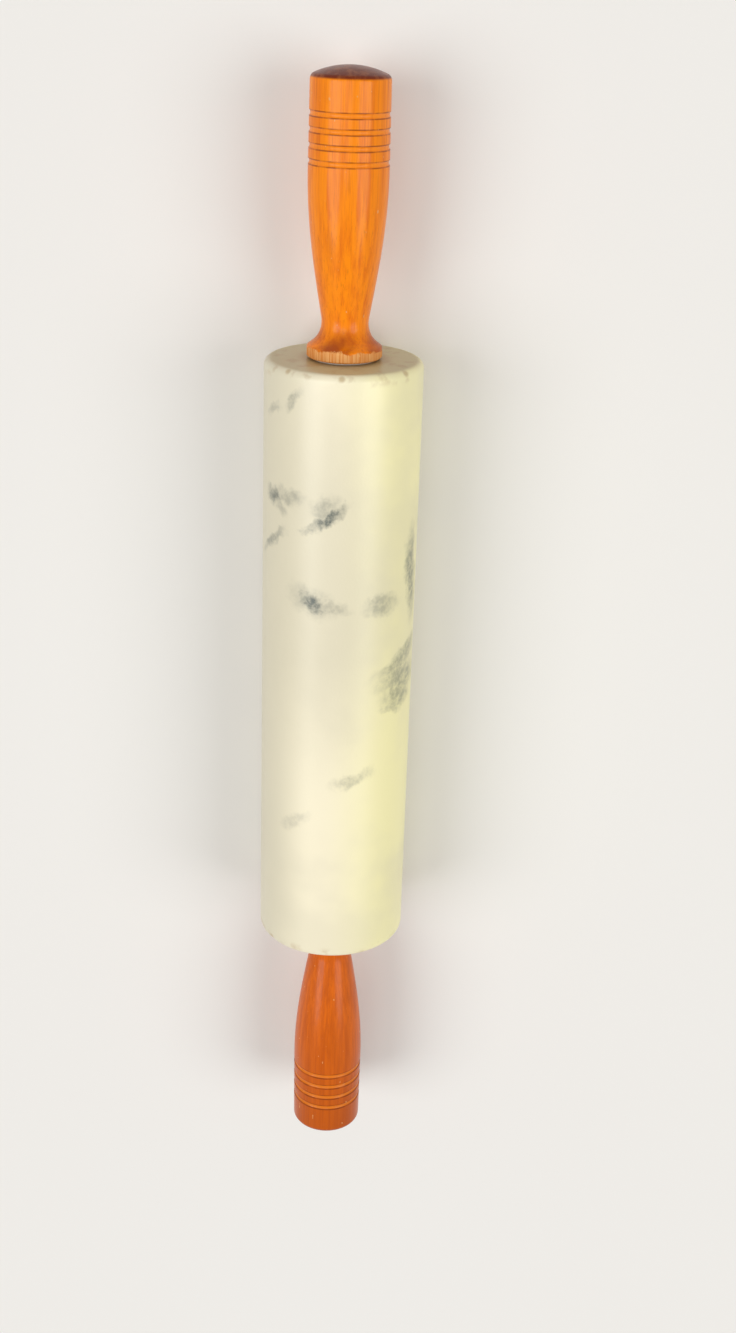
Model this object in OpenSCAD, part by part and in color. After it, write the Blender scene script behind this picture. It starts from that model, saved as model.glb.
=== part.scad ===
// Marble rolling pin. A marble barrel turns on a steel axle, between two turned wooden handles.
// The pin lies along X, and its origin is on the axle at the middle of the barrel.
// Each piece of the right-hand end is drawn once, and mirrored for the left-hand end.
// A place called "out" is measured along X from the barrel's end face, away from the barrel.

/* [Barrel] */
// Length of the marble barrel
barrel_length = 254; // [200:1:320]
// Diameter of the marble barrel
barrel_d = 62.5; // [54:0.5:80]
// Rounding of the two end edges of the barrel
barrel_edge_r = 3; // [1:0.25:6]
// Diameter of the hole drilled right through the marble
core_d = 14; // [12:0.5:17]

/* [Bushes] */
// Diameter of the bush body, and of its seat in the marble
bush_d = 20; // [18:0.5:23]
// Length of the bush, with its flange
bush_length = 16; // [8:1:40]
// Diameter of the bush flange, and of its seat in the marble
bush_flange_d = 25; // [24:0.5:28]
// Thickness of the bush flange
bush_flange_t = 1.2; // [0.8:0.1:3]
// How far the flange stands proud of the marble
bush_proud = 0.2; // [0.1:0.05:0.6]
// Bevel at the two mouths of the bush's bore
bush_bevel = 0.6; // [0.2:0.1:1.2]

/* [Axle] */
// Diameter of the axle rod
axle_d = 8; // [7:0.25:9]
// Gap all round between the axle and the bush that it runs in
running_gap = 0.05; // [0.02:0.01:0.1]
// How far the axle reaches out past the end of the barrel, into the handle
axle_reach = 45; // [40:1:80]
// Bevel at each end of the axle
axle_bevel = 1; // [0.5:0.1:1.5]
// Distance between neighbouring thread crests
thread_pitch = 1.25; // [1:0.05:1.75]
// Height of the thread from root to crest
thread_depth = 0.65; // [0.4:0.05:0.8]
// Gap all round between the thread of the axle and the threads screwed on it
thread_gap = 0.06; // [0.04:0.01:0.1]

/* [Washers] */
// Outer diameter of the thrust washer
washer_d = 22; // [20:0.5:24]
// Thickness of the thrust washer
washer_t = 1; // [0.8:0.1:2]
// How far the washer stands proud of the handle that holds it
washer_proud = 0.3; // [0.1:0.05:0.6]
// Play along the axle between each washer and the bush that it faces
end_float = 0.2; // [0.1:0.05:0.5]

/* [Lock nuts] */
// Width of the lock nut across its flats
nut_flats = 13; // [12:0.5:14]
// Thickness of the lock nut
nut_t = 4; // [3:0.25:6]
// Height of the bevel on the corners of the lock nut
nut_bevel = 0.6; // [0.3:0.1:1]

/* [Threaded inserts] */
// Diameter of the insert over its barbs, and of its hole in the handle
insert_d = 12; // [11:0.5:13]
// Length of the insert
insert_length = 24; // [14:1:34]
// Length of the plain stretch before the first barb
barb_lead = 0.5; // [0.2:0.1:2]
// Distance between neighbouring barbs
barb_pitch = 2; // [1.5:0.25:4]
// Height of a barb
barb_depth = 0.5; // [0.2:0.1:0.8]
// Width of the screwdriver slot in the face of the insert
slot_w = 1.6; // [1:0.1:2.5]
// Depth of that slot
slot_depth = 2; // [1:0.25:4]

/* [Handle] */
// Length of a handle, from the underside of its collar to the top of its domed end
handle_length = 107.3; // [98:0.1:130]
// Diameter of the collar at the barrel's end of the handle
collar_d = 29.4; // [28:0.1:34]
// Rounding where the flare runs into the collar's rim
collar_round = 1.2; // [0.5:0.1:2]
// Bevel on the lower edge of the collar
collar_bevel = 0.5; // [0.2:0.1:1]
// Distance from the underside of the collar to the neck, the narrowest place
neck_at = 13.1; // [12:0.1:17]
// Diameter of the neck
neck_d = 18.3; // [16.5:0.1:20]
// Radius of the hollow flare between the neck and the collar
flare_r = 9.5; // [7:0.25:10]
// Angle between the flare's steepest stretch and the axle
flare_angle = 52; // [46:1:56]
// Radius of the long hollow between the neck and the grip
grip_hollow_r = 16; // [10:1:30]
// Distance from the underside of the collar to the fullest place of the grip
belly_at = 69.3; // [60:0.1:72]
// Diameter of the grip at its fullest place
belly_d = 30.7; // [27:0.1:34]
// Diameter of the grip where its domed end begins
shoulder_d = 30.2; // [27:0.1:34]
// Radius of the dome's rounded corner
dome_corner_r = 2.5; // [1:0.25:5]
// Radius of the dome's crown
dome_crown_r = 33; // [26:1:60]

/* [Grooves] */
// How many grooves ring the grip
groove_count = 4; // [2:1:4]
// Distance from the top of the dome to the middle of the nearest groove
groove_from_end = 16.9; // [14:0.1:18]
// Distance between the middles of neighbouring grooves
groove_pitch = 5.73; // [4:0.01:6]
// Width of a groove
groove_w = 2.1; // [1:0.1:3]
// Depth of a groove
groove_depth = 0.45; // [0.2:0.05:0.8]

/* [Clearances] */
// Gap all round between a loose piece and the hole that holds it
loose_gap = 0.2; // [0.1:0.05:0.4]
// Room left in the handle beyond the end of the axle
bore_room = 2; // [1:0.5:5]

/* [Hidden] */
$fn = 96;

marble = [0.93, 0.90, 0.79];
varnished_wood = [0.84, 0.45, 0.09];
white_nylon = [0.92, 0.91, 0.87];
bright_steel = [0.70, 0.71, 0.73];
zinc_steel = [0.62, 0.63, 0.62];
brass = [0.80, 0.64, 0.30];

// Steps along a short arc, and along the swell of the grip
arc_steps = 12;
swell_steps = 32;
// How far a cutting shape runs past the face that it opens
overshoot = 1;
// Share of half a pitch within which a thread's own end takes the place of a crest or root
end_share = 0.01;
// Angle of the bevel on a nut's corners
nut_bevel_angle = 30;

end_x = barrel_length / 2;
axle_r = axle_d / 2;
bush_bore_r = axle_r + running_gap;
bush_inner = bush_proud - bush_length;

// Where the faces of the stacked pieces lie, out from the barrel's end face
washer_at = bush_proud + end_float;
collar_at = washer_at + washer_proud;
nut_at = washer_at + washer_t;
insert_at = nut_at + nut_t;
insert_end = insert_at + insert_length;
handle_end = collar_at + handle_length;

// Points of a circular arc, with angles measured from the radial direction
function arc(centre, r, from, to) =
    [for (i = [0 : arc_steps])
        let (a = from + (to - from) * i / arc_steps)
            centre + r * [cos(a), sin(a)]];

// Radius of the axle's thread: ring-shaped crests and roots follow each other like teeth
function thread_r(out) =
    let (turn = (out - collar_at) / thread_pitch)
        axle_r - thread_depth * (1 - abs(2 * (turn - floor(turn)) - 1));

// Outline of the thread between two places, grown by the gap of a piece screwed on it
function thread_points(from, to, grow = 0) =
    let (half = thread_pitch / 2,
         first = ceil((from - collar_at) / half + end_share),
         last = floor((to - collar_at) / half - end_share),
         outs = concat([from], [for (k = [first : last]) collar_at + k * half], [to]))
        [for (out = outs) [thread_r(out) + grow, out]];

// An outline of [radius, out] points moved from the barrel's end face to its true place along X
function at_barrel_end(points) = [for (p = points) [p[0], p[1] + end_x]];

// The same outline at the other end, in the order that continues a closed shape
function mirrored(points) =
    [for (i = [len(points) - 1 : -1 : 0]) [points[i][0], -points[i][1]]];

// Turns an outline of [radius, place along X] points about the axle
module turned(points)
    rotate([0, 90, 0])
        rotate_extrude()
            polygon(points);

// A round bar or hole along X
module round_bar(d, from, to)
    translate([from, 0, 0])
        rotate([0, 90, 0])
            cylinder(d = d, h = to - from);

// Places a piece that is drawn out from the barrel's end face at the right-hand end
module at_right()
    translate([end_x, 0, 0])
        children();

// Places the same piece at the left-hand end
module at_left()
    mirror([1, 0, 0])
        at_right()
            children();

// Barrel: solid marble with rounded end edges, drilled through, with a stepped seat for each bush
module barrel_blank() {
    r = barrel_d / 2;
    rotate([0, 90, 0])
        rotate_extrude() {
            translate([0, -end_x])
                square([r - barrel_edge_r, barrel_length]);
            translate([0, barrel_edge_r - end_x])
                square([r, barrel_length - 2 * barrel_edge_r]);
            for (side = [-1, 1])
                translate([r - barrel_edge_r, side * (end_x - barrel_edge_r)])
                    circle(r = barrel_edge_r);
        }
}

module bush_seat() {
    round_bar(bush_d, bush_inner, overshoot);
    round_bar(bush_flange_d, bush_proud - bush_flange_t, overshoot);
}

module marble_barrel()
    color(marble)
        difference() {
            barrel_blank();
            round_bar(core_d, -end_x - overshoot, end_x + overshoot);
            at_right() bush_seat();
            at_left() bush_seat();
        }

// Bush: a flanged nylon sleeve fixed in the marble, which runs on the axle
module bush_bore() {
    wide_r = bush_bore_r + bush_bevel;
    round_bar(2 * bush_bore_r, bush_inner - overshoot, bush_proud + overshoot);
    turned([[0, bush_inner], [wide_r, bush_inner], [0, bush_inner + wide_r]]);
    turned([[0, bush_proud], [wide_r, bush_proud], [0, bush_proud - wide_r]]);
}

module bush()
    color(white_nylon)
        difference() {
            union() {
                round_bar(bush_d, bush_inner, bush_proud);
                round_bar(bush_flange_d, bush_proud - bush_flange_t, bush_proud);
            }
            bush_bore();
        }

// Axle: one steel rod right through the pin, threaded where the handles hold it
module axle_rod() {
    threaded = concat(thread_points(collar_at, axle_reach - axle_bevel),
                      [[axle_r - axle_bevel, axle_reach], [0, axle_reach]]);
    right_end = at_barrel_end(threaded);
    color(bright_steel)
        turned(concat(mirrored(right_end), right_end));
}

// Washer: a steel ring sunk in the collar of the handle, which rubs on the bush's flange
module washer()
    color(bright_steel)
        difference() {
            round_bar(washer_d, washer_at, nut_at);
            round_bar(axle_d + 2 * loose_gap, washer_at - overshoot, nut_at + overshoot);
        }

// The screwed hole of a nut or an insert
module screwed_hole(from, to)
    turned(concat([[0, from - overshoot]],
                  thread_points(from - overshoot, to + overshoot, thread_gap),
                  [[0, to + overshoot]]));

// Lock nut: a thin hexagon nut that locks the axle in the insert
module nut_blank() {
    corner_r = nut_flats / 2 / cos(30);
    slope = tan(nut_bevel_angle);
    face_r = corner_r - nut_bevel / slope;
    wide_r = corner_r + overshoot;
    rise = nut_bevel + overshoot * slope;
    intersection() {
        translate([nut_at, 0, 0])
            rotate([0, 90, 0])
                cylinder(r = corner_r, h = nut_t, $fn = 6);
        turned([[0, nut_at], [face_r, nut_at], [wide_r, nut_at + rise],
                [wide_r, insert_at - rise], [face_r, insert_at], [0, insert_at]]);
    }
}

module lock_nut()
    color(zinc_steel)
        difference() {
            nut_blank();
            screwed_hole(nut_at, insert_at);
        }

// Insert: a barbed brass sleeve fixed in the handle, threaded for the axle, slotted to drive it in
function barb_points() =
    let (crest_r = insert_d / 2,
         root_r = crest_r - barb_depth,
         start = insert_at + barb_lead,
         count = ceil((insert_length - barb_lead) / barb_pitch) - 1)
        concat([[root_r, insert_at], [root_r, start]],
               [for (k = [0 : count - 1], r = [crest_r, root_r])
                   [r, start + (r == crest_r ? k : k + 1) * barb_pitch]],
               [[root_r, insert_end]]);

module insert()
    color(brass)
        difference() {
            turned(concat([[0, insert_at]], barb_points(), [[0, insert_end]]));
            screwed_hole(insert_at, insert_end);
            translate([insert_at, 0, 0])
                cube([2 * slot_depth, slot_w, insert_d + overshoot], center = true);
        }

// Handle: its outline runs from the collar up the flare to the neck, along the grip, over the dome
neck_r = neck_d / 2;
belly_r = belly_d / 2;
shoulder_r = shoulder_d / 2;
neck_out = collar_at + neck_at;
belly_out = collar_at + belly_at;

// The flare is a hollow arc, then a straight slope up to the rounding of the collar's rim
flare_top_r = neck_r + flare_r * (1 - cos(flare_angle));
flare_top_out = neck_out - flare_r * sin(flare_angle);
rim_r = collar_d / 2 - collar_round;
slope_run = (rim_r + collar_round * cos(flare_angle) - flare_top_r) / tan(flare_angle);
rim_out = flare_top_out - slope_run - collar_round * sin(flare_angle);

// The grip leaves the neck at an angle, and swells to its belly along a quarter of a sine wave
grip_angle = atan(PI / 2 * (belly_r - neck_r) / (belly_at - neck_at));
swell_r = neck_r + grip_hollow_r * (1 - cos(grip_angle));
swell_out = neck_out + grip_hollow_r * sin(grip_angle);

function swell_points() =
    [for (i = [1 : swell_steps])
        let (share = i / swell_steps)
            [swell_r + (belly_r - swell_r) * sin(90 * share),
             swell_out + (belly_out - swell_out) * share]];

// The dome has a small rounded corner that runs smoothly into a flatter crown
crown_out = handle_end - dome_crown_r;
corner_r = shoulder_r - dome_corner_r;
corner_out = crown_out + sqrt(pow(dome_crown_r - dome_corner_r, 2) - pow(corner_r, 2));
dome_angle = atan2(corner_out - crown_out, corner_r);

function handle_outline() =
    concat([[0, collar_at],
            [collar_d / 2 - collar_bevel, collar_at],
            [collar_d / 2, collar_at + collar_bevel]],
           arc([rim_r, rim_out], collar_round, 0, flare_angle),
           arc([neck_r + flare_r, neck_out], flare_r, 180 + flare_angle, 180),
           arc([neck_r + grip_hollow_r, neck_out], grip_hollow_r, 180, 180 - grip_angle),
           swell_points(),
           arc([corner_r, corner_out], dome_corner_r, 0, dome_angle),
           arc([0, crown_out], dome_crown_r, dome_angle, 90));

// Radius of the grip between its belly and its shoulder
function upper_grip_r(out) =
    belly_r + (shoulder_r - belly_r) * (out - belly_out) / (corner_out - belly_out);

// A cove cut all round the grip
module groove(out) {
    cove_r = (pow(groove_w / 2, 2) + pow(groove_depth, 2)) / (2 * groove_depth);
    translate([out, 0, 0])
        rotate([0, 90, 0])
            rotate_extrude()
                translate([upper_grip_r(out) - groove_depth + cove_r, 0])
                    circle(r = cove_r);
}

// The stepped hole in the handle for the washer, the nut, the insert and the axle
module handle_bore() {
    mouth = collar_at - overshoot;
    round_bar(washer_d + 2 * loose_gap, mouth, nut_at);
    round_bar(nut_flats / cos(30) + 2 * loose_gap, mouth, insert_at);
    round_bar(insert_d, mouth, insert_end);
    round_bar(axle_d + 2 * loose_gap, mouth, axle_reach + bore_room);
}

module handle()
    color(varnished_wood)
        difference() {
            turned(handle_outline());
            handle_bore();
            for (k = [0 : groove_count - 1])
                groove(handle_end - groove_from_end - k * groove_pitch);
        }

marble_barrel();
at_left() bush();  // left_bush
at_right() bush();  // right_bush
axle_rod();
at_left() washer();  // left_washer
at_right() washer();  // right_washer
at_left() lock_nut();  // left_lock_nut
at_right() lock_nut();  // right_lock_nut
at_left() insert();  // left_insert
at_right() insert();  // right_insert
at_left() handle();  // left_handle
at_right() handle();  // right_handle
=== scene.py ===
# %% [markdown]
# Marble rolling pin.
# A stone barrel turns on a steel axle between two turned wooden handles. The measured solids come
# first, as a fixed frame. Every piece made here takes its place and size from them, so the looks and
# the real sizes can't drift apart.

# %% Load the frame
import bpy, bmesh
from math import atan2, cos, pi, radians, sin, sqrt, tan
from mathutils import Matrix, Vector


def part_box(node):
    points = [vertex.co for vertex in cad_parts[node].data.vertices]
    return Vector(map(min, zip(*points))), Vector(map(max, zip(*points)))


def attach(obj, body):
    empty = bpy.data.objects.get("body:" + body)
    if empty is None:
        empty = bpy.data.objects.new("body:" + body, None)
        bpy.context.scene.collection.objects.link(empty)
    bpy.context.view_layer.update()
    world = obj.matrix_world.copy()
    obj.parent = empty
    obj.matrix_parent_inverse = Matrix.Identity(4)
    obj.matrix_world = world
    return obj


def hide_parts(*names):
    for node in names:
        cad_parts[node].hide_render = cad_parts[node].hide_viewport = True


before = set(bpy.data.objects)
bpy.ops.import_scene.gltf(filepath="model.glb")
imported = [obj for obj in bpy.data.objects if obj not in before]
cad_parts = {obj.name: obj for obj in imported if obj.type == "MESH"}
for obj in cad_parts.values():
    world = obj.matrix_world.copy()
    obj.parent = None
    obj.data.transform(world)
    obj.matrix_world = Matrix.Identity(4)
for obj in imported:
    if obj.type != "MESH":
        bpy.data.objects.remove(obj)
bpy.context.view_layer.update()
MM = 0.001

# %% [markdown]
# The camera looks down on the pin from beyond its right-hand end. Its place was found by fitting the
# barrel's outline. A place, a direction to look in and a direction for the top of the picture are
# clearer than three angles, and the camera's axes follow from them by cross products.

# %% Camera
IMAGE_SIZE = (736, 1333)
FOCAL_PIXELS = 1697.5
SENSOR_WIDTH = 36
CAMERA_PLACE = Vector((273.8, -2.1, 656.2)) * MM
LOOK = Vector((-0.38901, -0.01547, -0.9211))
PICTURE_UP = Vector((0.92076, 0.02547, -0.3893))

camera_data = bpy.data.cameras.new("camera")
camera_data.sensor_width = SENSOR_WIDTH
camera_data.lens = FOCAL_PIXELS * SENSOR_WIDTH / max(IMAGE_SIZE)
camera = bpy.data.objects.new("camera", camera_data)
bpy.context.scene.collection.objects.link(camera)
sideways = LOOK.cross(PICTURE_UP).normalized()
turn = Matrix((sideways, sideways.cross(LOOK).normalized(), -LOOK.normalized())).transposed()
camera.matrix_world = Matrix.Translation(CAMERA_PLACE) @ turn.to_4x4()
bpy.context.scene.camera = camera
print("lens", round(camera_data.lens, 2), "mm")

# %% [markdown]
# Turned work is described by places along the axis and radii there. Lengths named OUT are measured
# outwards from the barrel's end face, so that one set of sizes serves both handles. The frame gives
# what touches other pieces, and the turner's own choices are named here.

# %% Sizes of the turned pieces, in millimetres
barrel_low, barrel_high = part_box("marble_barrel")
handle_low, handle_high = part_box("right_handle")
END = barrel_high.x / MM
BARREL_R = barrel_high.z / MM
BARREL_EDGE = 3.0
COLLAR_OUT = handle_low.x / MM - END
TOP_OUT = handle_high.x / MM - END
COLLAR_R, COLLAR_ROUND, COLLAR_BEVEL = 14.7, 1.2, 0.5
NECK_OUT, NECK_R = COLLAR_OUT + 13.1, 9.15
FLARE_R, FLARE_ANGLE = 9.5, radians(52)
GRIP_HOLLOW = 16.0
BELLY_OUT, BELLY_R = COLLAR_OUT + 69.3, 15.35
SHOULDER_R, DOME_CORNER, DOME_CROWN = 15.1, 2.5, 33.0
GROOVE_COUNT, GROOVE_PITCH, GROOVE_FROM_TOP = 4, 5.73, 16.9
GROOVE_HALF, GROOVE_DEPTH = 1.05, 0.45
GROOVES = [TOP_OUT - GROOVE_FROM_TOP - GROOVE_PITCH * k for k in range(GROOVE_COUNT)]
print("barrel radius", BARREL_R, "collar out", round(COLLAR_OUT, 2), "top out", round(TOP_OUT, 2))

# %% [markdown]
# A lathe cuts a round shape from an outline. A cylinder pulled and scaled ring by ring could look the
# same, but an outline keeps every fillet a true arc. Here the outline is a chain of edges, and the
# spin operator carries it round the X axis. A full turn merges its seam, and merging doubles closes
# the ends that touch the axis. The normals are then worked out again, because spin can turn a shape
# inside out.

# %% The lathe
SHARP_ANGLE = radians(28)
MERGE_DISTANCE = 0.002


def arc(out, radius, bend, first, last, steps):
    """Points of a circular arc: its angles are measured from the outward radial direction."""
    angles = [first + (last - first) * i / steps for i in range(steps + 1)]
    return [(out + bend * sin(a), radius + bend * cos(a)) for a in angles]


def spin_outline(name, outline, steps, side=1):
    """A turned piece from (place along X, radius) points in millimetres. Side -1 mirrors it."""
    turning = bmesh.new()
    rim = [turning.verts.new((side * x * MM, 0, r * MM)) for x, r in outline]
    edges = [turning.edges.new(pair) for pair in zip(rim, rim[1:])]
    bmesh.ops.spin(turning, geom=rim + edges, cent=(0, 0, 0), axis=(1, 0, 0),
                   angle=2 * pi, steps=steps, use_merge=True)
    bmesh.ops.remove_doubles(turning, verts=turning.verts, dist=MERGE_DISTANCE * MM)
    bmesh.ops.recalc_face_normals(turning, faces=turning.faces)
    if turning.calc_volume(signed=True) < 0:
        bmesh.ops.reverse_faces(turning, faces=turning.faces)
    mesh = bpy.data.meshes.new(name)
    turning.to_mesh(mesh)
    turning.free()
    mesh.shade_smooth()
    mesh.set_sharp_from_angle(angle=SHARP_ANGLE)
    piece = bpy.data.objects.new(name, mesh)
    bpy.context.scene.collection.objects.link(piece)
    print(name, len(mesh.polygons), "faces")
    return piece


# %% [markdown]
# The collar has a small rounded rim. A straight slope leads from it into a hollow flare, which is an
# arc that ends level at the neck. The rim's place follows from the slope, so that all three meet
# without a kink.

# %% Collar, flare and neck
def flare_and_neck():
    slope = tan(FLARE_ANGLE)
    flare_top_r = NECK_R + FLARE_R * (1 - cos(FLARE_ANGLE))
    flare_top_out = NECK_OUT - FLARE_R * sin(FLARE_ANGLE)
    rim_r = COLLAR_R - COLLAR_ROUND
    slope_run = (rim_r + COLLAR_ROUND * cos(FLARE_ANGLE) - flare_top_r) / slope
    rim_out = flare_top_out - slope_run - COLLAR_ROUND * sin(FLARE_ANGLE)
    rim = arc(rim_out, rim_r, COLLAR_ROUND, 0, FLARE_ANGLE, 8)
    return rim + arc(NECK_OUT, NECK_R + FLARE_R, FLARE_R, pi + FLARE_ANGLE, pi, 20)


print("neck at", round(NECK_OUT, 2), "outline points", len(flare_and_neck()))


# %% [markdown]
# The grip swells from the neck to the belly as a quarter of a sine wave, which starts steep and ends
# level. A short hollow arc joins it to the neck. The dome is a wide crown arc with a small round
# corner: the corner's middle lies where both arcs touch.

# %% Grip and dome
SWELL_STEPS = 56


def swelling():
    angle = atan2(pi / 2 * (BELLY_R - NECK_R), BELLY_OUT - NECK_OUT)
    hollow = arc(NECK_OUT, NECK_R + GRIP_HOLLOW, GRIP_HOLLOW, pi, pi - angle, 8)
    start_out, start_r = hollow[-1]
    shares = [i / SWELL_STEPS for i in range(1, SWELL_STEPS + 1)]
    return hollow[1:] + [(start_out + (BELLY_OUT - start_out) * s,
                          start_r + (BELLY_R - start_r) * sin(pi / 2 * s)) for s in shares]


def dome():
    corner_r = SHOULDER_R - DOME_CORNER
    crown_out = TOP_OUT - DOME_CROWN
    corner_out = crown_out + sqrt((DOME_CROWN - DOME_CORNER) ** 2 - corner_r ** 2)
    turn_angle = atan2(corner_out - crown_out, corner_r)
    corner = arc(corner_out, corner_r, DOME_CORNER, 0, turn_angle, 10)
    crown = arc(crown_out, 0, DOME_CROWN, turn_angle, pi / 2, 24)
    return corner + crown[1:-1] + [(TOP_OUT, 0)]


SHOULDER_OUT = dome()[0][0]
print("dome starts at", round(SHOULDER_OUT, 2))


# %% [markdown]
# Four shallow coves circle the grip near its end. Each is part of a circle seen from the side. They
# are real geometry, because bump alone would leave the outline smooth. Between them the grip tapers
# a little from the belly to the shoulder.

# %% Coves
def cove(middle, radius):
    """A shallow round-bottomed groove with crisp edges."""
    bend = (GROOVE_HALF ** 2 + GROOVE_DEPTH ** 2) / (2 * GROOVE_DEPTH)
    places = [-1 + i / 5 for i in range(11)]
    depths = [sqrt(bend ** 2 - (p * GROOVE_HALF) ** 2) - (bend - GROOVE_DEPTH) for p in places]
    return [(middle + p * GROOVE_HALF, radius - d) for p, d in zip(places, depths)]


def grooved_grip():
    points = []
    for middle in sorted(GROOVES):
        share = (middle - BELLY_OUT) / (SHOULDER_OUT - BELLY_OUT)
        points += cove(middle, BELLY_R + (SHOULDER_R - BELLY_R) * share)
    return points


print("cove middles", [round(middle, 1) for middle in sorted(GROOVES)])

# %% [markdown]
# Each handle is drilled in steps for the washer, the lock nut, the insert and the axle's end. The
# hole belongs to the same outline, so the handle is a true hollow piece when it is seen by itself.

# %% Stepped hole
LOOSE_GAP = 0.2
AXLE_HOLE_R, WASHER_MOUTH_R = 4.2, 11.2
BEYOND_AXLE = 2
nut_low, nut_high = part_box("right_lock_nut")
insert_low, insert_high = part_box("right_insert")
axle_low, axle_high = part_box("axle_rod")


def stepped_hole():
    """The hole from the axle's blind end back to the mouth in the collar."""
    bottom = axle_high.x / MM - END + BEYOND_AXLE
    insert_from, insert_to = insert_low.x / MM - END, insert_high.x / MM - END
    nut_from = nut_low.x / MM - END
    insert_r, nut_r = insert_high.z / MM, nut_high.z / MM + LOOSE_GAP
    return [(bottom, 0), (bottom, AXLE_HOLE_R), (insert_to, AXLE_HOLE_R), (insert_to, insert_r),
            (insert_from, insert_r), (insert_from, nut_r), (nut_from, nut_r),
            (nut_from, WASHER_MOUTH_R), (COLLAR_OUT, WASHER_MOUTH_R)]


print("hole starts at", round(stepped_hole()[0][0], 1), "mm out")

# %% [markdown]
# One outline makes both handles: the left one is its mirror image. Each replaces its plain solid and
# rides on the same body, so it stays still while the barrel turns.

# %% Make the handles
HANDLE_STEPS = 144
foot = [(COLLAR_OUT, COLLAR_R - COLLAR_BEVEL), (COLLAR_OUT + COLLAR_BEVEL, COLLAR_R)]
handle_outline = stepped_hole() + foot + flare_and_neck() + swelling() + grooved_grip() + dome()
handles = []
for side_name, side in (("right", 1), ("left", -1)):
    piece = spin_outline(side_name + "_turned_handle", [(END + out, r) for out, r in handle_outline],
                         HANDLE_STEPS, side)
    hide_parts(side_name + "_handle")
    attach(piece, "handles")
    handles.append(piece)

# %% [markdown]
# The barrel is turned too: a cylinder with rounded edges, a bore, and a stepped seat for the bush at
# each end. Its outline runs from the middle of the bore to the middle of the side, and then back as
# a mirror image. Extra rings near the edges leave enough points for chips.

# %% Barrel
BARREL_STEPS = 224
CORE_R, BUSH_BODY_R, FLANGE_SEAT = 7.0, 10.0, 1.0
RING_STEP, FACE_RINGS, SIDE_RINGS, MIDDLE_PARTS = 0.8, 19, 4, 8
FIRST_FACE_RING = 13.4
bush_low, bush_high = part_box("right_bush")


def barrel_outline():
    seat_in, flange_r, flange_in = bush_low.x / MM, bush_high.z / MM, END - FLANGE_SEAT
    bore = [(0, CORE_R), (seat_in, CORE_R), (seat_in, BUSH_BODY_R), (flange_in, BUSH_BODY_R),
            (flange_in, flange_r), (END, flange_r)]
    face = [(END, FIRST_FACE_RING + RING_STEP * i) for i in range(FACE_RINGS)]
    edge = arc(END - BARREL_EDGE, BARREL_R - BARREL_EDGE, BARREL_EDGE, pi / 2, 0, 10)
    near_edge = [(END - BARREL_EDGE - RING_STEP * i, BARREL_R) for i in range(1, SIDE_RINGS + 1)]
    middle = [(END * i / MIDDLE_PARTS, BARREL_R) for i in range(MIDDLE_PARTS - 1, 0, -1)]
    half = bore + face + edge + near_edge + middle
    return half + [(0, BARREL_R)] + [(-x, r) for x, r in reversed(half)]


barrel = spin_outline("polished_barrel", barrel_outline(), BARREL_STEPS)

# %% [markdown]
# Stone chips at its edge. A chip is a small dent, pressed into the mesh: every point inside a small
# ball near the rim moves towards the barrel's core, most of all at the ball's middle. A boolean cut
# would leave hard facets and stray slivers.

# %% Chips in the rim
# Along, angle in degrees, size, depth
CHIPS = [(125.6, 1, 1.7, 0.30), (126.0, -51, 1.9, 0.35), (126.2, 44, 1.6, 0.22),
         (-125.0, 55, 1.9, 0.30), (-125.8, 150, 1.6, 0.28), (125.4, 172, 1.8, 0.30)]
CHIP_R = BARREL_R - 0.3 * BARREL_EDGE
TOWARDS_MIDDLE = 0.9


def around_pin(along, angle, radius):
    """A place in millimetres. The angle is 0 at the top and grows towards +Y."""
    return Vector((along, radius * sin(radians(angle)), radius * cos(radians(angle))))


for along, angle, size, depth in CHIPS:
    middle = around_pin(along, angle, CHIP_R) * MM
    inward = (Vector((along * TOWARDS_MIDDLE * MM, 0, 0)) - middle).normalized()
    for vertex in barrel.data.vertices:
        near = 1 - (vertex.co - middle).length / (size * MM)
        if near > 0:
            vertex.co += inward * depth * MM * sqrt(near)
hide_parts("marble_barrel")
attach(barrel, "barrel")
print("chips:", len(CHIPS))


# %% [markdown]
# Finishes are node networks. Helpers keep them readable: each adds one node, feeds it numbers or
# other nodes' outputs, and returns its output. Colours are written as they look on a screen.

# %% Node helpers: numbers and colours
def colour(red, green, blue):
    """A screen colour from 0 to 255, as the linear values that the shader wants."""
    def linear(c):
        c /= 255
        return c / 12.92 if c <= 0.04045 else ((c + 0.055) / 1.055) ** 2.4
    return (linear(red), linear(green), linear(blue), 1)


def feed(tree, socket, value):
    """Link an output to a socket, or write a plain value on it."""
    if isinstance(value, bpy.types.NodeSocket):
        tree.links.new(value, socket)
    else:
        socket.default_value = value


def maths(tree, operation, *values):
    node = tree.nodes.new("ShaderNodeMath")
    node.operation = operation
    for socket, value in zip(node.inputs, values):
        feed(tree, socket, value)
    return node.outputs[0]


def times(tree, first, second):
    return maths(tree, "MULTIPLY", first, second)


def blend(tree, share, low, high):
    """One colour where the share is 0, the other where it is 1."""
    node = tree.nodes.new("ShaderNodeMix")
    node.data_type = "RGBA"
    for socket, value in zip((node.inputs[0], node.inputs[6], node.inputs[7]), (share, low, high)):
        feed(tree, socket, value)
    return node.outputs[2]


def tint(tree, base, tone, mask, strength):
    """Lay a tone over a base where the mask says, at most as strongly as given."""
    return blend(tree, times(tree, mask, strength), base, tone)


def fade(tree, value, start, end):
    """A mask that goes smoothly from 0 at start to 1 at end."""
    node = tree.nodes.new("ShaderNodeMapRange")
    node.interpolation_type = "SMOOTHSTEP"
    for socket, setting in zip(node.inputs, (value, start, end, 0.0, 1.0)):
        feed(tree, socket, setting)
    return node.outputs[0]


print("orange varnish, linear:", [round(part, 3) for part in colour(253, 142, 0)])


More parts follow.
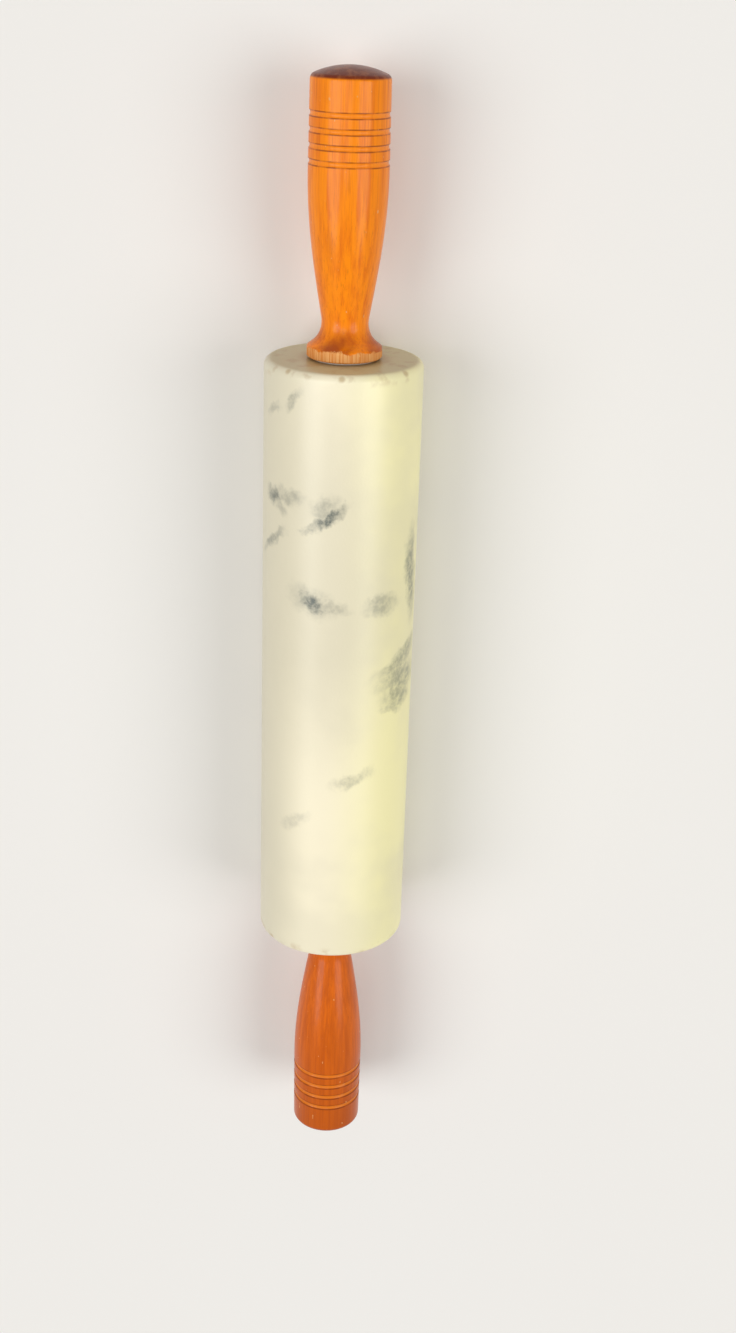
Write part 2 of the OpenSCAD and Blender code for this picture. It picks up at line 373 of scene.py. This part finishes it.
# %% Node helpers: textures and bumps
def noise(tree, place, scale, detail=3.0, roughness=0.5, output="Fac"):
    node = tree.nodes.new("ShaderNodeTexNoise")
    feed(tree, node.inputs["Vector"], place)
    for name, value in (("Scale", scale), ("Detail", detail), ("Roughness", roughness)):
        node.inputs[name].default_value = value
    return node.outputs[output]


def stretched_noise(tree, place, scales, detail=3.0, roughness=0.5):
    """Noise with its own scale on each axis, for grain and rings."""
    node = tree.nodes.new("ShaderNodeMapping")
    feed(tree, node.inputs["Vector"], place)
    node.inputs["Scale"].default_value = scales
    return noise(tree, node.outputs[0], 1.0, detail, roughness)


def bumps(tree, height, distance):
    node = tree.nodes.new("ShaderNodeBump")
    feed(tree, node.inputs["Height"], height)
    node.inputs["Distance"].default_value = distance
    return node.outputs[0]


print("texture helpers:", noise.__name__, stretched_noise.__name__, bumps.__name__)


# %% Node helpers: groups and finishes
def new_group(name, inputs, outputs):
    """An empty shader group with named number inputs, and outputs of the kinds given."""
    tree = bpy.data.node_groups.new(name, "ShaderNodeTree")
    for label in inputs:
        tree.interface.new_socket(label, in_out="INPUT", socket_type="NodeSocketFloat")
    for label, kind in outputs.items():
        tree.interface.new_socket(label, in_out="OUTPUT", socket_type="NodeSocket" + kind)
    return tree, tree.nodes.new("NodeGroupInput").outputs, tree.nodes.new("NodeGroupOutput").inputs


def use_group(tree, group, values=None):
    node = tree.nodes.new("ShaderNodeGroup")
    node.node_tree = group
    for label, value in (values or {}).items():
        feed(tree, node.inputs[label], value)
    return node.outputs


def new_finish(name, **constants):
    """A material with its Principled shader, and its constant values on the shader's own sockets."""
    material = bpy.data.materials.new(name)
    material.use_nodes = True
    shader = material.node_tree.nodes["Principled BSDF"]
    for label, value in constants.items():
        shader.inputs[label.replace("_", " ")].default_value = value
    return material, material.node_tree, shader


print("group helpers:", new_group.__name__, use_group.__name__, new_finish.__name__)

# %% [markdown]
# Stone, wood and metal are all patterned round the axis. This group turns Object coordinates into
# millimetres along the pin, the angle round it, and the distance from its axis. Object coordinates
# stay with a piece when it turns, so the marks in the stone travel with the barrel.

# %% Round-the-pin coordinates
pin_places, _, pin_out = new_group("pin_places", [], {
    "Along": "Float", "Angle": "Float", "Across": "Float", "Radius": "Float", "Place": "Vector"})
coordinates = pin_places.nodes.new("ShaderNodeTexCoord").outputs["Object"]
in_mm = pin_places.nodes.new("ShaderNodeVectorMath")
in_mm.operation = "SCALE"
feed(pin_places, in_mm.inputs[0], coordinates)
in_mm.inputs["Scale"].default_value = 1 / MM
split = pin_places.nodes.new("ShaderNodeSeparateXYZ")
feed(pin_places, split.inputs[0], in_mm.outputs[0])
along_x, across_y, up_z = split.outputs
radius_squared = maths(pin_places, "ADD", times(pin_places, across_y, across_y),
                       times(pin_places, up_z, up_z))
pin_values = {"Along": along_x, "Angle": maths(pin_places, "ARCTAN2", across_y, up_z),
              "Across": across_y, "Radius": maths(pin_places, "SQRT", radius_squared),
              "Place": in_mm.outputs[0]}
for label, value in pin_values.items():
    feed(pin_places, pin_out[label], value)
print("group:", pin_places.name)

# %% [markdown]
# A smudge in marble is a soft, tilted oval of grey mineral. The group turns the surface's place by
# the tilt, measures how far out of the oval it is, and fades there. One group used many times keeps
# each smudge down to six numbers.

# %% One smudge
FADE_FROM, FADE_TO = 1.2, 0.25
smudge, smudge_in, smudge_out = new_group(
    "marble_smudge", ["Along", "Around", "Middle along", "Middle around", "Half length",
                      "Half width", "Tilt", "Strength"], {"Mask": "Float"})
d_along = maths(smudge, "SUBTRACT", smudge_in["Along"], smudge_in["Middle along"])
d_around = maths(smudge, "SUBTRACT", smudge_in["Around"], smudge_in["Middle around"])
tilt_cos = maths(smudge, "COSINE", smudge_in["Tilt"])
tilt_sin = maths(smudge, "SINE", smudge_in["Tilt"])
lengthwise = maths(smudge, "ADD", times(smudge, d_along, tilt_cos), times(smudge, d_around, tilt_sin))
crosswise = maths(smudge, "SUBTRACT", times(smudge, d_around, tilt_cos),
                  times(smudge, d_along, tilt_sin))
shares = [maths(smudge, "POWER", maths(smudge, "DIVIDE", distance, smudge_in[half]), 2.0)
          for distance, half in ((lengthwise, "Half length"), (crosswise, "Half width"))]
outness = maths(smudge, "SQRT", maths(smudge, "ADD", *shares))
feed(smudge, smudge_out["Mask"],
     times(smudge, fade(smudge, outness, FADE_FROM, FADE_TO), smudge_in["Strength"]))
print("group:", smudge.name, "inputs:", len(smudge_in) - 1)

# %% [markdown]
# The marble is cream, turns yellow towards one side, partly its own tint and partly painted light,
# and carries grey-green smudges. The smudges that the picture shows have their places here. The
# hidden side has some of the same kind, so the stone looks natural all round.

# %% Places of the smudges
# Along in millimetres, angle in degrees, half length, half width, tilt in degrees, strength
SHOWN_SMUDGES = [
    (115, 37, 7, 2.6, -46, 0.45), (110, 59, 6, 2.2, -60, 0.35),
    (76, 57, 6, 4.2, -100, 0.80), (77, 41, 9, 4.0, -95, 0.40), (72, 50, 6, 3.0, -130, 0.35),
    (71, 8, 10, 3.2, -52, 1.00), (75, 10, 7, 5.0, -66, 0.42), (66, 21, 5, 2.4, -58, 0.50),
    (57, 59, 12, 2.4, -55, 0.55),
    (36, 20, 7, 4.4, -101, 0.95), (35, 8, 10, 3.6, -99, 0.38), (36, 20, 12, 7.0, -104, 0.30),
    (34, -33, 9, 4.5, -86, 0.45), (43, -68, 22, 6.0, -175, 0.75),
    (8, -58, 18, 4.5, -70, 0.60), (-1, -60, 16, 9.0, -88, 0.62), (-9, -56, 12, 5.5, -100, 0.60),
    (-13, -49, 8, 3.0, -111, 0.40), (-6, -44, 3.0, 2.0, 0, 0.55),
    (-41, -14, 10, 3.4, -69, 0.36), (-63, 32, 9, 4.0, -58, 0.22)]
HIDDEN_SMUDGES = [
    (-88, 118, 16, 4.0, -60, 0.60), (-30, 105, 14, 5.0, -75, 0.70), (96, 128, 13, 4.0, -50, 0.55),
    (22, 140, 18, 6.0, -80, 0.60), (60, -112, 15, 4.5, -60, 0.65), (-58, -118, 17, 5.0, -100, 0.60),
    (-100, -130, 10, 4.0, -70, 0.50), (98, -140, 9, 3.0, -45, 0.50)]
GREY_VEIL = (34, 7.3, 78, 34, 0, 0.62)
print("smudges:", len(SHOWN_SMUDGES), "shown,", len(HIDDEN_SMUDGES), "hidden")

# %% [markdown]
# A clean oval would look printed. So the coordinates are bent by coloured noise before the ovals are
# drawn on them, which makes each edge wander, and finer noise breaks the grey into flecks.

# %% Grey of the marble
WARP_SCALE, WARP_REACH = 0.11, 11.0
FLECK_SCALE, FLECK_SHARE = 0.42, 0.55
marble, tree, shader = new_finish("marble", IOR=1.5)
at = use_group(tree, pin_places)
warp = tree.nodes.new("ShaderNodeSeparateColor")
feed(tree, warp.inputs[0], noise(tree, at["Place"], WARP_SCALE, 4.0, 0.6, "Color"))
flat_place = (at["Along"], times(tree, at["Angle"], BARREL_R))
bent_along, bent_around = [
    maths(tree, "MULTIPLY_ADD", maths(tree, "SUBTRACT", channel, 0.5), WARP_REACH, straight)
    for channel, straight in zip(warp.outputs, flat_place)]


def smudge_mask(along, angle, half_length, half_width, tilt, strength):
    values = {"Along": bent_along, "Around": bent_around, "Middle along": along,
              "Middle around": radians(angle) * BARREL_R, "Half length": half_length,
              "Half width": half_width, "Tilt": radians(tilt), "Strength": strength}
    return use_group(tree, smudge, values)["Mask"]


grey = 0.0
for numbers in SHOWN_SMUDGES + HIDDEN_SMUDGES:
    grey = maths(tree, "MAXIMUM", grey, smudge_mask(*numbers))
flecks = fade(tree, noise(tree, at["Place"], FLECK_SCALE, 5.0, 0.62), 0.28, 0.66)
grey = times(tree, grey, maths(tree, "MULTIPLY_ADD", flecks, FLECK_SHARE, 1 - FLECK_SHARE))
print("marble nodes so far:", len(tree.nodes))

# %% [markdown]
# The stone changes across the pin. It turns yellow to the right, partly its own tint and partly
# painted light, and greyer to the left, which is painted shade. A broad grey veil and slow clouds
# follow. Each tint is laid over the last one through a mask, as thin glazes are.

# %% Tints, painted light and painted shade of the marble
IVORY, YELLOW, PALE_GREY = colour(249, 240, 210), colour(251, 244, 184), colour(216, 209, 184)
SMUDGE_GREY = colour(80, 90, 86)
# Yellow towards the right: partly the stone's tint, partly painted light.
stone = blend(tree, fade(tree, at["Across"], 6.0, -26.0), IVORY, YELLOW)
# Painted shade: the left side is tinted greyer.
stone = tint(tree, stone, PALE_GREY, fade(tree, at["Across"], 8.0, 31.0), 0.9)
stone = blend(tree, smudge_mask(*GREY_VEIL), stone, PALE_GREY)
clouds = fade(tree, noise(tree, at["Place"], 0.022), 0.42, 0.68)
stone = tint(tree, stone, PALE_GREY, clouds, 0.35)
stone = blend(tree, grey, stone, SMUDGE_GREY)
print("marble nodes so far:", len(tree.nodes))

# %% [markdown]
# The end faces are painted a darker tan: painted shade on faces turned away from the lamps. A ring
# of painted shade lies round the collar, which overhangs the face. Food stains the rounded edge in
# places, and each chip shows brown. These masks read the distance from the axis and from the end.

# %% Faces, painted shade, stains and chips of the marble
FACE_SHADE_TAN, STAIN_AND_SHADE, CHIP_BROWN = colour(196, 190, 146), colour(176, 140, 84), colour(186, 156, 104)
from_middle = maths(tree, "ABSOLUTE", at["Along"])
on_face = times(tree, fade(tree, from_middle, END - 1.6, END - 0.1),
                fade(tree, at["Radius"], BARREL_R - 0.8, BARREL_R - 3.4))
# Painted shade: the end face is tinted a darker tan.
stone = tint(tree, stone, FACE_SHADE_TAN, on_face, 0.85)
# Painted shade: a darker ring on the face round the collar.
collar_painted_shade = times(tree, fade(tree, at["Radius"], 20.0, 14.6), fade(tree, from_middle, END - 1, END))
stone = tint(tree, stone, STAIN_AND_SHADE, collar_painted_shade, 0.55)
on_edge = times(tree, fade(tree, from_middle, END - 5.5, END - 2.0),
                fade(tree, noise(tree, at["Place"], 0.16), 0.52, 0.70))
stone = tint(tree, stone, STAIN_AND_SHADE, on_edge, 0.35)
for along, angle, size, depth in CHIPS:
    gap = tree.nodes.new("ShaderNodeVectorMath")
    gap.operation = "DISTANCE"
    feed(tree, gap.inputs[0], at["Place"])
    gap.inputs[1].default_value = around_pin(along, angle, CHIP_R)
    stone = tint(tree, stone, CHIP_BROWN, fade(tree, gap.outputs["Value"], size * 1.1, size * 0.3), 0.6)
print("chips stained:", len(CHIPS))

# %% [markdown]
# Worn polish is not the same everywhere, so noise varies the roughness a little round 0.34. The bump
# is only a few hundredths of a millimetre: enough to break up reflections, too little to see.

# %% Polish of the marble
STONE_BUMP = 0.00004
polish = maths(tree, "MULTIPLY_ADD", noise(tree, at["Place"], 0.3, 4.0), 0.14, 0.27)
for label, value in (("Base Color", stone), ("Roughness", polish),
                     ("Normal", bumps(tree, noise(tree, at["Place"], 0.9, 4.0), STONE_BUMP))):
    feed(tree, shader.inputs[label], value)
barrel.data.materials.append(marble)
print("marble nodes:", len(tree.nodes))

# %% [markdown]
# The wood's straight grain runs along each handle under varnish. Noise that is stretched along X
# gives streaks like that: coarse ones for the colour, fine ones for dark pores. One finish serves
# both handles, because it reads which side of the pin it is on. The handles are alike, so the far
# one's deeper colour, darker still towards its tip, is painted shade.

# %% Grain and painted shade of the wood
BRIGHT, DEEP, STREAK = colour(253, 142, 0), colour(232, 116, 0), colour(180, 78, 0)
FAR_SHADED_BRIGHT, FAR_SHADED_DEEP, FAR_SHADED_TIP = colour(224, 106, 0), colour(198, 88, 0), colour(164, 70, 2)
wood, tree, shader = new_finish("varnished_wood", Coat_Roughness=0.14, IOR=1.45,
                                Specular_IOR_Level=0.12)
at = use_group(tree, pin_places)
out = maths(tree, "SUBTRACT", maths(tree, "ABSOLUTE", at["Along"]), END)
# Mask of the far handle, which gets painted shade: both handles are really alike.
far_handle_shading = fade(tree, at["Along"], 10.0, -10.0)
grain = stretched_noise(tree, at["Place"], (0.018, 0.55, 0.55), 5.0, 0.65)
pores = stretched_noise(tree, at["Place"], (0.05, 2.2, 2.2), 3.0, 0.6)
patches = stretched_noise(tree, at["Place"], (0.03, 0.09, 0.09), 2.0)
# Lit and shaded copies of one wood: the near handle brighter, the far one deeper.
near_lit_wood = blend(tree, fade(tree, grain, 0.32, 0.60), DEEP, BRIGHT)
far_shaded_wood = blend(tree, fade(tree, grain, 0.30, 0.70), FAR_SHADED_DEEP, FAR_SHADED_BRIGHT)
timber = blend(tree, far_handle_shading, near_lit_wood, far_shaded_wood)
timber = tint(tree, timber, STREAK, fade(tree, pores, 0.54, 0.74), 0.45)
timber = tint(tree, timber, STREAK, fade(tree, patches, 0.58, 0.80), 0.35)
# Painted shade: the far handle darkens towards its tip.
timber = tint(tree, timber, FAR_SHADED_TIP, times(tree, far_handle_shading, fade(tree, out, 40.0, TOP_OUT)), 0.55)
print("wood nodes so far:", len(tree.nodes))

# %% [markdown]
# The floor of each cove is a light band, partly thin varnish and partly a painted reflection in its
# hollow. Thick varnish at its two edges makes two dark lines, and noise makes the lines patchy, as
# hand polishing does.

# %% Coves of the wood
COVE_PALE_AND_REFLECTION, COVE_LINE = colour(250, 146, 30), colour(120, 48, 0)
cove_floor_tone_and_reflection, lines = 0.0, 0.0
for middle in GROOVES:
    from_cove = maths(tree, "ABSOLUTE", maths(tree, "SUBTRACT", out, middle))
    cove_floor_tone_and_reflection = maths(tree, "MAXIMUM", cove_floor_tone_and_reflection, fade(tree, from_cove, GROOVE_HALF, 0.45 * GROOVE_HALF))
    from_line = maths(tree, "ABSOLUTE", maths(tree, "SUBTRACT", from_cove, GROOVE_HALF))
    lines = maths(tree, "MAXIMUM", lines, fade(tree, from_line, 0.42, 0.05))
patchy = maths(tree, "MULTIPLY_ADD", fade(tree, noise(tree, at["Place"], 0.25), 0.35, 0.6), 0.6, 0.4)
# Cove floors made lighter: partly thin varnish, partly painted reflection.
timber = tint(tree, timber, COVE_PALE_AND_REFLECTION, cove_floor_tone_and_reflection, 0.45)
timber = tint(tree, timber, COVE_LINE, times(tree, lines, patchy), 0.75)
print("coves coloured:", len(GROOVES))

# %% [markdown]
# Dark varnish has pooled on the flare, while the collar's rim has worn back to bare wood. The worn
# edge wanders: noise moves the place where the bare wood ends by some millimetres.

# %% Flare and worn rim of the wood
FLARE_BROWN, BARE, BARE_PALE = colour(160, 64, 8), colour(216, 130, 56), colour(238, 178, 112)
WEAR_LEAST, WEAR_WANDER = 1.6, 6.0
pooled = times(tree, fade(tree, out, 14.5, 8.0), fade(tree, patches, 0.30, 0.62))
timber = tint(tree, timber, FLARE_BROWN, pooled, 0.85)
wear_reach = maths(tree, "MULTIPLY_ADD", noise(tree, at["Place"], 0.14, 4.0, 0.6), WEAR_WANDER,
                   WEAR_LEAST)
worn = fade(tree, maths(tree, "SUBTRACT", wear_reach, out), -0.25, 0.35)
bare_wood = blend(tree, fade(tree, pores, 0.40, 0.62), BARE, BARE_PALE)
timber = blend(tree, worn, timber, bare_wood)
print("bare wood reaches", WEAR_LEAST, "to", WEAR_LEAST + WEAR_WANDER, "mm out")

# %% [markdown]
# The dome cuts across the grain, so it drinks more varnish and goes dark red-brown, with patches of
# a greyer painted sheen. The far one is only half as dark, which is painted light, since both domes
# are alike. A few pale nicks show where knocks broke the varnish.

# %% Dome, painted sheen and nicks of the wood
DOME_RED, DOME_PAINTED_SHEEN = colour(112, 38, 4), colour(140, 72, 34)
DOME_FROM, DOME_TO = 103.2, 104.2
# Painted sheen: greyer patches over the dark dome.
painted_sheen = fade(tree, stretched_noise(tree, at["Place"], (0.2, 0.35, 0.35), 4.0), 0.45, 0.68)
# Painted light: the far dome is made only half as dark.
dome_share = times(tree, fade(tree, out, DOME_FROM, DOME_TO),
                   maths(tree, "MULTIPLY_ADD", far_handle_shading, -0.45, 1.0))
timber = blend(tree, dome_share, timber, blend(tree, painted_sheen, DOME_RED, DOME_PAINTED_SHEEN))
nicks = fade(tree, stretched_noise(tree, at["Place"], (0.35, 0.6, 0.6), 1.0), 0.735, 0.79)
timber = tint(tree, timber, BARE_PALE, nicks, 0.8)
print("wood nodes so far:", len(tree.nodes))

# %% [markdown]
# Varnish is a clear coat over the wood, so gloss comes from the coat as well as from the base. Both
# are duller where the rim is worn, and the pores and nicks give a faint relief.

# %% Varnish of the wood
WOOD_BUMP = 0.00006
coat = maths(tree, "MULTIPLY_ADD", worn, -0.2, 0.22)
dullness = maths(tree, "MULTIPLY_ADD", worn, 0.35, maths(tree, "MULTIPLY_ADD", grain, 0.16, 0.24))
relief = maths(tree, "ADD", pores, times(tree, nicks, -1.5))
for label, value in (("Base Color", timber), ("Roughness", dullness), ("Coat Weight", coat),
                     ("Normal", bumps(tree, relief, WOOD_BUMP))):
    feed(tree, shader.inputs[label], value)
for piece in handles:
    piece.data.materials.append(wood)
print("wood nodes:", len(tree.nodes))

# %% [markdown]
# Turned metal shows fine rings from the tool and faint smears of oil. Three metals share them, so
# they are one group: noise squeezed along the axle gives rings, and slow noise gives smears.

# %% Tool marks
tool_marks, _, marks_out = new_group("tool_marks", [], {"Rings": "Float", "Smears": "Float"})
marked = use_group(tool_marks, pin_places)["Place"]
feed(tool_marks, marks_out["Rings"], stretched_noise(tool_marks, marked, (6.0, 0.05, 0.05)))
feed(tool_marks, marks_out["Smears"], fade(tool_marks, noise(tool_marks, marked, 0.2, 4.0), 0.4, 0.7))
print("group:", tool_marks.name)

# %% [markdown]
# The working parts inside are plain engineering materials: bright steel for the axle and washers,
# zinc plate for the lock nuts, brass for the inserts and nylon for the bushes. They keep their
# measured shapes and only get a finish.

# %% Metals and nylon
RING_BUMP = 0.00001


def turned_metal(name, tone, dark_tone, roughness):
    material, tree, shader = new_finish(name, Metallic=1.0)
    marks = use_group(tree, tool_marks)
    feed(tree, shader.inputs["Base Color"], blend(tree, marks["Smears"], tone, dark_tone))
    feed(tree, shader.inputs["Roughness"],
         maths(tree, "MULTIPLY_ADD", marks["Rings"], 0.2, roughness))
    feed(tree, shader.inputs["Normal"], bumps(tree, marks["Rings"], RING_BUMP))
    return material


steel = turned_metal("axle_steel", colour(196, 198, 202), colour(160, 162, 166), 0.18)
zinc = turned_metal("zinc_steel", colour(176, 178, 176), colour(140, 142, 140), 0.32)
brass = turned_metal("brass", colour(214, 178, 100), colour(180, 140, 70), 0.22)

nylon, tree, shader = new_finish("nylon", IOR=1.53)
cloudy = noise(tree, use_group(tree, pin_places)["Place"], 0.4)
feed(tree, shader.inputs["Base Color"],
     blend(tree, cloudy, colour(238, 236, 228), colour(222, 218, 206)))
feed(tree, shader.inputs["Roughness"], maths(tree, "MULTIPLY_ADD", cloudy, 0.15, 0.38))
print("inner finishes:", steel.name, zinc.name, brass.name, nylon.name)

# %% Finish the measured solids
FINISHES = {"axle_rod": steel, "washer": steel, "lock_nut": zinc, "insert": brass, "bush": nylon,
            "marble_barrel": marble, "handle": wood}
for name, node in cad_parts.items():
    finish = next(finish for ending, finish in FINISHES.items() if name.endswith(ending))
    node.data.materials.clear()
    node.data.materials.append(finish)
print("finished nodes:", len(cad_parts))

# %% [markdown]
# The floor is plain pale paper at the height where the barrel rests. It is far wider than the picture,
# so that no edge shows from a low side view.

# %% Floor
FLOOR_SIZE = 40.0
floor_sheet = bmesh.new()
bmesh.ops.create_grid(floor_sheet, x_segments=1, y_segments=1, size=FLOOR_SIZE / 2)
bmesh.ops.translate(floor_sheet, verts=floor_sheet.verts, vec=(0, 0, barrel_low.z))
floor_mesh = bpy.data.meshes.new("floor")
floor_sheet.to_mesh(floor_mesh)
floor_sheet.free()
floor = bpy.data.objects.new("floor", floor_mesh)
bpy.context.scene.collection.objects.link(floor)
paper, tree, shader = new_finish("paper", Roughness=0.9, Specular_IOR_Level=0.1)
shader.inputs["Base Color"].default_value = colour(236, 234, 230)
floor_mesh.materials.append(paper)
print("floor height", round(barrel_low.z / MM, 2), "mm")

# %% [markdown]
# Two broad soft lamps stand to the pin's sides and one above. They are suns with wide angles, because
# a sun lights the floor evenly however far it goes, and a wide angle softens its shadow. With the sky
# they are about as bright as a white page, so colours look as they are written.

# %% Lamps
# Name, direction it shines from, angle of softness in degrees, strength
LAMPS = [("above", (0.10, 0.10, 1.00), 30, 0.48), ("left", (-0.05, 0.62, 0.70), 38, 1.32),
         ("right", (-0.05, -0.62, 0.66), 38, 1.12)]
for name, direction, softness, strength in LAMPS:
    lamp_data = bpy.data.lights.new(name, "SUN")
    lamp_data.angle = radians(softness)
    lamp_data.energy = strength
    lamp = bpy.data.objects.new(name, lamp_data)
    bpy.context.scene.collection.objects.link(lamp)
    lamp.rotation_euler = (-Vector(direction)).to_track_quat("-Z", "Y").to_euler()
print("lamps:", len(LAMPS))

# %% [markdown]
# The sky lights the pin gently. Where it is seen, or mirrored in metal and varnish, it is a pale
# backdrop instead. The Light Path node tells the two uses apart, so a pale background needs no more
# light on the pin.

# %% Sky
SKY_STRENGTH = 0.30
world = bpy.data.worlds.new("sky")
world.use_nodes = True
sky_tree = world.node_tree
light_sky = sky_tree.nodes["Background"]
light_sky.inputs["Color"].default_value = colour(255, 253, 250)
light_sky.inputs["Strength"].default_value = SKY_STRENGTH
seen_sky = sky_tree.nodes.new("ShaderNodeBackground")
seen_sky.inputs["Color"].default_value = colour(238, 237, 234)
ray = sky_tree.nodes.new("ShaderNodeLightPath").outputs
seen = maths(sky_tree, "MAXIMUM", ray["Is Camera Ray"],
             maths(sky_tree, "MAXIMUM", ray["Is Glossy Ray"], ray["Is Transmission Ray"]))
chooser = sky_tree.nodes.new("ShaderNodeMixShader")
for socket, value in zip(chooser.inputs, (seen, light_sky.outputs[0], seen_sky.outputs[0])):
    feed(sky_tree, socket, value)
feed(sky_tree, sky_tree.nodes["World Output"].inputs["Surface"], chooser.outputs[0])
bpy.context.scene.world = world
bpy.context.scene.view_settings.view_transform = "Standard"
print("sky strength", SKY_STRENGTH)
